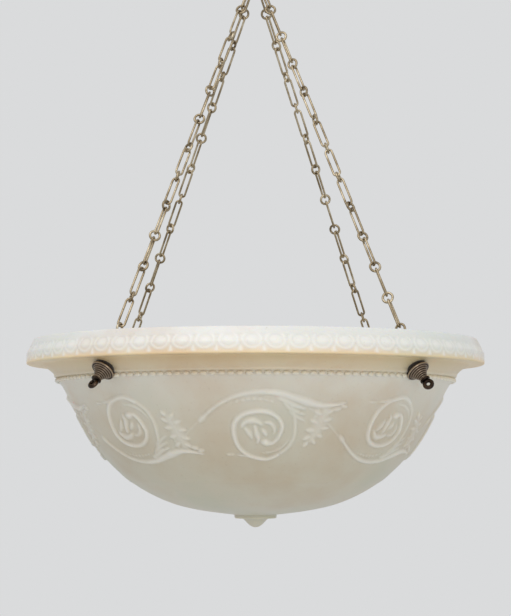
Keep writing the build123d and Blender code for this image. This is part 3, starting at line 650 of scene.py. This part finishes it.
def finishGroup(tree, source, target, instance, turn):
    spread = addNode(tree, "GeometryNodeInstanceOnPoints", Points=source.outputs["Geometry"],
                     Instance=instance, Rotation=turn)
    real = addNode(tree, "GeometryNodeRealizeInstances", Geometry=spread.outputs["Instances"])
    smooth = addNode(tree, "GeometryNodeSetShadeSmooth", Geometry=real.outputs["Geometry"])
    painted = addNode(tree, "GeometryNodeSetMaterial", Geometry=smooth.outputs["Geometry"],
                      Material=source.outputs["Material"])
    tree.links.new(painted.outputs["Geometry"], target.inputs["Geometry"])


def wireLoopGroup():
    # a wire bent into a long link, or into a ring where both sizes are the same
    tree, source, target = nodeGroup("wire loop on points", [
        ("Length", "NodeSocketFloat"), ("Width", "NodeSocketFloat"), ("Wire", "NodeSocketFloat"),
        ("Material", "NodeSocketMaterial")])
    frameLine = addNode(tree, "GeometryNodeCurvePrimitiveQuadrilateral",
                        Width=source.outputs["Width"], Height=source.outputs["Length"])
    half = addNode(tree, "ShaderNodeMath", {"operation": "MULTIPLY"})
    tree.links.new(source.outputs["Width"], half.inputs[0])
    half.inputs[1].default_value = 0.4999
    bent = addNode(tree, "GeometryNodeFilletCurve", {"mode": "POLY"},
                   Curve=frameLine.outputs["Curve"], Radius=half.outputs[0], Count=7)
    thick = addNode(tree, "ShaderNodeMath", {"operation": "MULTIPLY"})
    tree.links.new(source.outputs["Wire"], thick.inputs[0])
    thick.inputs[1].default_value = 0.5
    section = addNode(tree, "GeometryNodeCurvePrimitiveCircle", Resolution=10,
                      Radius=thick.outputs[0])
    wire = addNode(tree, "GeometryNodeCurveToMesh", Curve=bent.outputs["Curve"],
                   Profile_Curve=section.outputs["Curve"])
    attribute = addNode(tree, "GeometryNodeInputNamedAttribute", {"data_type": "FLOAT_VECTOR"},
                        Name="turn")
    turn = addNode(tree, "FunctionNodeEulerToRotation", Euler=attribute.outputs["Attribute"])
    finishGroup(tree, source, target, wire.outputs["Mesh"], turn.outputs["Rotation"])
    return tree


def beadGroup():
    # flattened beads, half sunk in the glass
    tree, source, target = nodeGroup("beads on points", [
        ("Long", "NodeSocketFloat"), ("High", "NodeSocketFloat"),
        ("Material", "NodeSocketMaterial")])
    ball = addNode(tree, "GeometryNodeMeshUVSphere", Segments=12, Rings=7, Radius=1.0)
    shape = addNode(tree, "ShaderNodeCombineXYZ", X=source.outputs["Long"],
                    Y=source.outputs["High"], Z=source.outputs["High"])
    flat = addNode(tree, "GeometryNodeTransform", Geometry=ball.outputs["Mesh"],
                   Scale=shape.outputs["Vector"])
    attribute = addNode(tree, "GeometryNodeInputNamedAttribute", {"data_type": "FLOAT_VECTOR"},
                        Name="turn")
    turn = addNode(tree, "FunctionNodeEulerToRotation", Euler=attribute.outputs["Attribute"])
    finishGroup(tree, source, target, flat.outputs["Geometry"], turn.outputs["Rotation"])
    return tree


def repeatOn(name, tree, places, values):
    # a host of points with turns, run through the group and kept as a plain mesh
    mesh = bpy.data.meshes.new(name + "Host")
    mesh.from_pydata([tuple(matrix.to_translation()) for matrix in places], [], [])
    layer = mesh.attributes.new("turn", "FLOAT_VECTOR", "POINT")
    layer.data.foreach_set("vector", [c for matrix in places for c in matrix.to_euler()])
    host = bpy.data.objects.new(name + "Host", mesh)
    bpy.context.scene.collection.objects.link(host)
    modifier = host.modifiers.new("repeat", "NODES")
    modifier.node_group = tree
    for item in tree.interface.items_tree:
        if item.in_out == "INPUT" and item.name in values:
            modifier[item.identifier] = values[item.name]
    bpy.context.view_layer.update()
    depsgraph = bpy.context.evaluated_depsgraph_get()
    made = bpy.data.meshes.new_from_object(host.evaluated_get(depsgraph))
    made.name = name
    thing = bpy.data.objects.new(name, made)
    bpy.context.scene.collection.objects.link(thing)
    bpy.data.objects.remove(host)
    return thing


def looseParts(node):
    # corner sets of the separate solids in a CAD piece
    form = bmesh.new()
    form.from_mesh(nodes[node].data)
    bmesh.ops.remove_doubles(form, verts=form.verts, dist=1e-6)
    seen, parts = set(), []
    for start in form.verts:
        if start in seen:
            continue
        seen.add(start)
        group, waiting = [], [start]
        while waiting:
            vert = waiting.pop()
            group.append(tuple(vert.co))
            for edge in vert.link_edges:
                other = edge.other_vert(vert)
                if other not in seen:
                    seen.add(other)
                    waiting.append(other)
        parts.append(np.array(group))
    form.free()
    return parts


def loopPlace(corners):
    # middle and directions of one link: width, length, face
    middle = corners.mean(0)
    axes = np.linalg.svd(corners - middle)[2]
    spans = (corners - middle) @ axes.T
    middle = middle + ((spans.max(0) + spans.min(0)) / 2) @ axes
    length, width = Vector(axes[0]), Vector(axes[1])
    face = width.cross(length)
    matrix = Matrix((width, length, face)).transposed().to_4x4()
    matrix.translation = Vector(middle)
    return matrix, (spans.max(0) - spans.min(0))[0]


# millimetres; a link whose solid is longer than "longFrom" is a long one
chain = {"wire": 2.2, "width": 8.7, "inside": 27.2, "endInside": 17.8, "ringWire": 2.4,
         "ringInside": 7.1, "longFrom": 26.0}
sides = ("front_left", "front_right", "back_left", "back_right")
linkNodes = [f"chain_{side}_links" for side in sides]
ringNodes = [f"chain_{side}_rings" for side in sides]
longPlaces, shortPlaces, ringPlaces = [], [], []
for node in linkNodes:
    for corners in looseParts(node):
        matrix, span = loopPlace(corners)
        (longPlaces if span > chain["longFrom"] * mm else shortPlaces).append(matrix)
for node in ringNodes:
    ringPlaces += [loopPlace(corners)[0] for corners in looseParts(node)]
print("chain:", len(longPlaces), "long,", len(shortPlaces), "short,", len(ringPlaces), "rings")
wireLoops = wireLoopGroup()
linkValues = {"Width": (chain["width"] - chain["wire"]) * mm, "Wire": chain["wire"] * mm,
              "Material": chainBrass}
longLinks = repeatOn("longLinks", wireLoops, longPlaces,
                     {**linkValues, "Length": (chain["inside"] + chain["wire"]) * mm})
dress(longLinks, "pendant", "aged_brass", *linkNodes)
endLinks = repeatOn("endLinks", wireLoops, shortPlaces,
                    {**linkValues, "Length": (chain["endInside"] + chain["wire"]) * mm})
dress(endLinks, "pendant", "aged_brass", *linkNodes)
ringSize = (chain["ringInside"] + chain["ringWire"]) * mm
chainRings = repeatOn("chainRings", wireLoops, ringPlaces,
                      {"Width": ringSize, "Length": ringSize, "Wire": chain["ringWire"] * mm,
                       "Material": chainBrass})
dress(chainRings, "pendant", "aged_brass", *ringNodes)

beadPlaces = []
for n in range(bowl["beads"]):
    turn = 2 * math.pi * n / bowl["beads"]
    place = Matrix.Rotation(turn + math.pi / 2, 4, "Z")
    place.translation = Vector((bowl["beadRadius"] * math.cos(turn) * mm,
                                bowl["beadRadius"] * math.sin(turn) * mm,
                                lipHeight - bowl["beadDrop"] * mm))
    beadPlaces.append(place)
glassBeads = repeatOn("glassBeads", beadGroup(), beadPlaces,
                      {"Long": bowl["beadLong"] * mm, "High": bowl["beadHigh"] * mm,
                       "Material": glassMaterial})
dress(glassBeads, "pendant", "opal_glass")
print("chains and beads made")


# studs

# felt, boss, collar, eye, boltEnd, nutFace and nutEnd: millimetres out along the bolt from
# its foot in the hollow
stud = {"azimuths": (45, 135, 225, 315), "felt": 2.07, "boss": 4.02, "collar": 15.77,
        "eye": 21.97, "eyeMiddle": 3.5, "eyeWire": 1.9, "eyeTurns": (20, 70, 90, -36),
        "boltEnd": -13.88, "nutFace": -10.63, "nutEnd": -15.33, "nutFlats": 10.0,
        "hookWire": 1.45, "hookBend": 4.0, "hookArch": 5.5}
# the turned beehive of the boss, between its foot flange and its tip
beehive = {"steps": 65, "ridges": 6, "start": 1.6, "length": 9.3, "tip": 3.6, "swell": 6.1,
           "fall": 1.45, "ridge": 0.55, "groove": 0.25}


def studMatrix(azimuth, distance):
    out = Vector((math.cos(math.radians(azimuth)), math.sin(math.radians(azimuth)), 0))
    axis = Vector((out.x * slopeCos, out.y * slopeCos, -slopeSin))
    width = Vector((-out.y, out.x, 0))
    matrix = Matrix((width, axis.cross(width), axis)).transposed().to_4x4()
    foot = out * bowl["stud"] * mm + Vector((0, 0, lipHeight - bowl["studDrop"] * mm))
    matrix.translation = foot + axis * distance * mm
    return matrix


bossProfile = [(2.6, 0.0), (11.0, 0.0), (11.5, 0.35), (11.6, 0.9), (11.45, 1.5), (11.0, 1.85),
               (10.4, 1.7), (10.1, 1.45), (9.8, 1.45)]
# painted highlights: the flange's rim, the beehive's ridges and the tip's rim painted lighter
bossShine = [0, 0, 0.2, 0.9, 0.9, 0.5, 0, 0, 0]
for n in range(beehive["steps"] + 1):
    t = n / beehive["steps"]
    ridge = abs(math.sin(t * math.pi * beehive["ridges"]))
    radius = beehive["tip"] + beehive["swell"] * (1 - t) ** beehive["fall"]
    bossProfile.append((radius + beehive["ridge"] * ridge - beehive["groove"],
                        beehive["start"] + beehive["length"] * t))
    bossShine.append(ridge ** 3 * 0.6)
bossProfile += [(4.2, 11.1), (4.5, 11.3), (4.3, 11.6), (2.6, 11.6), (2.6, 0.0)]
bossShine += [0.3, 0.7, 0.3, 0, 0]
bossSides = 48
boss = turnedMm(bossProfile, bossSides)
collar = turnedMm([(0, 0), (4.5, 0), (4.9, 0.4), (4.9, 1.2), (4.5, 1.6), (3.4, 1.75), (2.6, 2.4),
                   (0, 2.4)], 36)
shank = turnedMm([(0, 0), (2.2, 0), (2.5, 0.35), (2.5, 30.0), (0, 30.0)], 20)
felt = turnedMm([(2.8, -2.4), (10.0, -2.4), (10.4, -0.6), (10.5, 0.4), (10.5, 1.5), (10.1, 1.8),
                 (2.8, 1.8), (2.8, -2.4)], 40)
nutFlat = stud["nutFlats"] / 2
nut = turnedMm([(0, 0), (nutFlat - 0.1, 0), (nutFlat + 0.35, 0.3), (nutFlat + 0.35, 4.3),
                (nutFlat - 0.3, 4.7), (3.4, 4.7), (2.6, 5.1), (0, 5.1)], 6)
eyePath = [(stud["eyeMiddle"] * mm * math.cos(2 * math.pi * n / 32),
            stud["eyeMiddle"] * mm * math.sin(2 * math.pi * n / 32), 0) for n in range(32)]
eye = tube(eyePath, stud["eyeWire"] * mm, 14, closed=True)


def onStud(distance, side=0.0):
    # radius and height of a place that far along the bolt, and to its upper side
    return (bowl["stud"] + distance * slopeCos + side * slopeSin,
            -bowl["studDrop"] - distance * slopeSin + side * slopeCos)


def atAzimuth(pair, azimuth):
    return Vector((pair[0] * math.cos(math.radians(azimuth)) * mm,
                   pair[0] * math.sin(math.radians(azimuth)) * mm, lipHeight + pair[1] * mm))


# the nut's hook bends up from the bolt's end and over, to take the chain's last link
bend = onStud(stud["nutEnd"], stud["hookBend"])
arch = (bend[0] - stud["hookBend"] + stud["hookArch"], bend[1])
hook = [onStud(stud["nutEnd"] + 0.8), onStud(stud["nutEnd"] + 0.3)]
hook += arcPoints(bend, stud["hookBend"], 223, 180, 5)
hook += arcPoints(arch, stud["hookArch"], 180, -6, 22)[1:]
bossParts, boltParts, feltParts, nutParts = [], [], [], []
for azimuth, turn in zip(stud["azimuths"], stud["eyeTurns"]):
    bossParts.append(placed(boss, studMatrix(azimuth, stud["boss"])))
    feltParts.append(placed(felt, studMatrix(azimuth, stud["felt"])))
    boltParts.append(placed(shank, studMatrix(azimuth, stud["boltEnd"])))
    boltParts.append(placed(collar, studMatrix(azimuth, stud["collar"])))
    swing = Matrix.Rotation(math.radians(turn), 4, "Z") @ Matrix.Rotation(math.radians(90), 4, "Y")
    boltParts.append(placed(eye, studMatrix(azimuth, stud["eye"]) @ swing))
    nutParts.append(tube([atAzimuth(p, azimuth) for p in hook], stud["hookWire"] * mm, 12))
    inward = studMatrix(azimuth, stud["nutFace"]) @ Matrix.Rotation(math.pi, 4, "X")
    nutParts.append(placed(nut, inward))
bossHighlights = np.tile(np.repeat(bossShine, bossSides), len(bossParts))
dress(meshObject("studBosses", *joined(bossParts), studBronze, relief=bossHighlights),
      "pendant", "dark_bronze", "stud_bosses")
dress(meshObject("studEyeBolts", *joined(boltParts), studBronze), "pendant", "dark_bronze",
      "stud_eye_bolts")
dress(meshObject("outerFelts", *joined(feltParts), feltMaterial), "pendant", "felt", "outer_felts")
dress(meshObject("hookNuts", *joined(nutParts), turnedBrass), "pendant", "brass", "hook_nuts")
bevelCopy("inner_felts", "innerFelts", feltMaterial, 0.3 * mm, "pendant", "felt")
print("studs made")


# gathering ring, hook and ceiling fitting

# heights in millimetres from the ceiling; rod and wire are radii, the hook's bend is in degrees
hanging = {"hookCentre": -88.206, "hookRadius": 11.0, "hookBend": 250.3, "neck": 6.0,
           "rodTop": -3.4, "rodEnd": -72.3, "rod": 3.95}
gathering = {"centre": -104.006, "radius": 11.0, "wire": 2.0, "barDrop": 11.0}
neckReach = hanging["hookRadius"] + hanging["neck"]
neckAngle = math.degrees(math.atan2(math.sqrt(neckReach ** 2 - hanging["neck"] ** 2),
                                    hanging["neck"]))
rod = line((0, hanging["rodTop"]), (0, hanging["rodEnd"]), 6)
rod += arcPoints((hanging["neck"], hanging["rodEnd"]), hanging["neck"], 180, 180 + neckAngle, 8)[1:]
rod += arcPoints((0, hanging["hookCentre"]), hanging["hookRadius"], neckAngle,
                 neckAngle - hanging["hookBend"], 40)[1:]
hookPiece = tube([(0, p[0] * mm, p[1] * mm) for p in rod], hanging["rod"] * mm, 24)
dress(meshObject("ceilingHook", *hookPiece, rodBrass), "ceiling_fitting", "aged_brass",
      "ceiling_hook")
# half round above, with a straight bar below that the four top links hang on
ringPath = [(x, -gathering["barDrop"]) for x in (7.2, 8.3)] + [(9.2, -10.3), (9.9, -8.6)]
ringPath += arcPoints((0, 0), gathering["radius"], -9, 189, 30)
ringPath += [(-9.9, -8.6), (-9.2, -10.3)]
ringPath += [(x, -gathering["barDrop"]) for x in (-8.3, -7.2, -3, 3)]
ringPiece = tube([(p[0] * mm, 0, (p[1] + gathering["centre"]) * mm) for p in ringPath],
                 gathering["wire"] * mm, 16, closed=True)
dress(meshObject("gatheringRing", *ringPiece, fittingBrass), "ring", "aged_brass", "gathering_ring")
# node, name, material, soft edge in mm, body, slot
for node, name, material, width, body, slot in (
        ("ceiling_rose", "ceilingRose", fittingBrass, 0.5, "rose", "aged_brass"),
        ("rose_collar", "roseCollar", fittingBrass, 0.5, "rose", "aged_brass"),
        ("rose_cord_bush", "roseCordBush", mouldingMaterial, 0.3, "rose", "black_moulding"),
        ("collar_screw", "collarScrew", fittingBrass, 0.35, "thumb_screw", "aged_brass"),
        ("ceiling_bar", "ceilingBar", steelMaterial, 0.4, "ceiling_fitting", "plated_steel"),
        ("stem_top_nut", "stemTopNut", turnedBrass, 0.5, "ceiling_fitting", "brass"),
        ("stem_lock_nut", "stemLockNut", turnedBrass, 0.5, "ceiling_fitting", "brass")):
    bevelCopy(node, name, material, width * mm, body, slot)
print("ceiling fitting made")


# lamp carrier

# millimetres; lamps and holders start that far from the middle of the housing
lamp = {"radius": 14.0, "start": 65.3, "holderStart": 31.15}
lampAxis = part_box("lamp_bulbs")[0].z + lamp["radius"] * mm
lampProfile = [(0, 0), (7.6, 0), (10.6, 0.6), (12.8, 2.6), (13.8, 5.2), (lamp["radius"], 8.0),
               (lamp["radius"], 39.0), (13.6, 43.0), (12.2, 46.8), (9.6, 49.8), (6.0, 51.5),
               (2.6, 52.0), (0, 52.0)]
holderProfile = [(4.5, -8.0), (4.5, 0.0), (12.2, 0.0), (13.0, 0.7), (13.0, 7.0), (12.6, 7.4),
                 (12.6, 8.6), (13.0, 9.0), (13.0, 24.0), (12.6, 24.4), (12.6, 25.6), (13.0, 26.0),
                 (13.0, 33.3), (12.3, 34.0), (8.0, 34.0), (7.3, 33.3), (7.3, 16.2), (0, 16.2)]
capProfile = [(0, 18.2), (5.5, 18.2), (6.8, 19.0), (6.9, 34.2), (0, 34.2)]
lampParts, holderParts, capParts = [], [], []
for flip in (0, math.pi):
    turned = Matrix.Rotation(flip, 4, "Z") @ Matrix.Rotation(math.pi / 2, 4, "Y")
    for profile, start, found, count in ((lampProfile, lamp["start"], lampParts, 48),
                                         (holderProfile, lamp["holderStart"], holderParts, 48),
                                         (capProfile, lamp["holderStart"], capParts, 32)):
        shape = turnedMm(profile, count, start)
        found.append(placed(shape, Matrix.Translation((0, 0, lampAxis)) @ turned))
dress(meshObject("lampBulbs", *joined(lampParts), lampMaterial), "pendant", "bulb_glass",
      "lamp_bulbs")
dress(meshObject("lampHolders", *joined(holderParts), mouldingMaterial), "pendant",
      "black_moulding", "lampholders")
dress(meshObject("lampCaps", *joined(capParts), turnedBrass), "pendant", "brass", "lamp_caps")
for node, name, material, width, slot in (
        ("lamp_arms", "lampArms", steelMaterial, 0.25, "plated_steel"),
        ("lamp_hub", "lampHub", steelMaterial, 0.4, "plated_steel"),
        ("hub_cover", "hubCover", steelMaterial, 0.3, "plated_steel"),
        ("hub_cover_screws", "hubCoverScrews", turnedBrass, 0.25, "brass"),
        ("arm_screws", "armScrews", turnedBrass, 0.25, "brass"),
        ("hub_cord_bush", "hubCordBush", mouldingMaterial, 0.3, "black_moulding")):
    bevelCopy(node, name, material, width * mm, "pendant", slot)
print("lamp carrier made")


# floor, light and camera

floorHeight, floorRadius = -2.4, 14.0  # the room's floor, well below a hanging dish
floorPoints, floorFaces = lathe([(0, floorHeight), (floorRadius, floorHeight)], 64)
floorMaterial = plainMaterial("paleFloor", "#F0F0EE", 0.9)
floor = meshObject("studioFloor", floorPoints, floorFaces, floorMaterial)

world = bpy.data.worlds.new("studio")
bpy.context.scene.world = world
world.use_nodes = True
tree = world.node_tree
tree.nodes.clear()
# camera, glossy and transmission rays see the pale background, the others a softer light
path = addNode(tree, "ShaderNodeLightPath")
seen = addNode(tree, "ShaderNodeMath", {"operation": "MAXIMUM"})
tree.links.new(path.outputs["Is Camera Ray"], seen.inputs[0])
tree.links.new(path.outputs["Is Transmission Ray"], seen.inputs[1])
shown = addNode(tree, "ShaderNodeMath", {"operation": "MAXIMUM"})
tree.links.new(seen.outputs[0], shown.inputs[0])
tree.links.new(path.outputs["Is Glossy Ray"], shown.inputs[1])
soft = addNode(tree, "ShaderNodeBackground", Color=hexColour("#E9ECF0"), Strength=0.82)
pale = addNode(tree, "ShaderNodeBackground", Color=hexColour("#DADBDC"), Strength=1.0)
both = addNode(tree, "ShaderNodeMixShader", Fac=shown.outputs[0])
tree.links.new(soft.outputs[0], both.inputs[1])
tree.links.new(pale.outputs[0], both.inputs[2])
output = addNode(tree, "ShaderNodeOutputWorld")
tree.links.new(both.outputs[0], output.inputs["Surface"])


def areaLight(name, place, target, size, power, code):
    data = bpy.data.lights.new(name, "AREA")
    data.shape = "DISK"
    data.size = size
    data.energy = power
    data.color = hexColour(code)[:3]
    thing = bpy.data.objects.new(name, data)
    thing.location = place
    thing.rotation_euler = (Vector(target) - Vector(place)).to_track_quat("-Z", "Y").to_euler()
    bpy.context.scene.collection.objects.link(thing)


areaLight("softOverhead", (-0.6, -1.3, 1.0), (0, 0, -0.5), 1.3, 10.5, "#FFFCF8")
areaLight("softFront", (0.5, -2.6, -0.5), (0, 0, -0.55), 1.2, 13.0, "#FFFDFA")

camera = bpy.data.objects.new("camera", bpy.data.cameras.new("camera"))
bpy.context.scene.collection.objects.link(camera)
bpy.context.scene.camera = camera
# metres from the axis and below the lip, degrees for the turn and the pitch
view = {"away": 1.751, "below": 0.1115, "turn": 2.0, "pitch": 94.74, "lens": 101.77}
viewTurn = math.radians(view["turn"])
camera.location = (-view["away"] * math.sin(viewTurn), -view["away"] * math.cos(viewTurn),
                   lipHeight - view["below"])
camera.rotation_euler = (math.radians(view["pitch"]), 0, -viewTurn)
camera.data.lens = view["lens"]
camera.data.clip_start = 0.05
bpy.context.scene.view_settings.view_transform = "Standard"
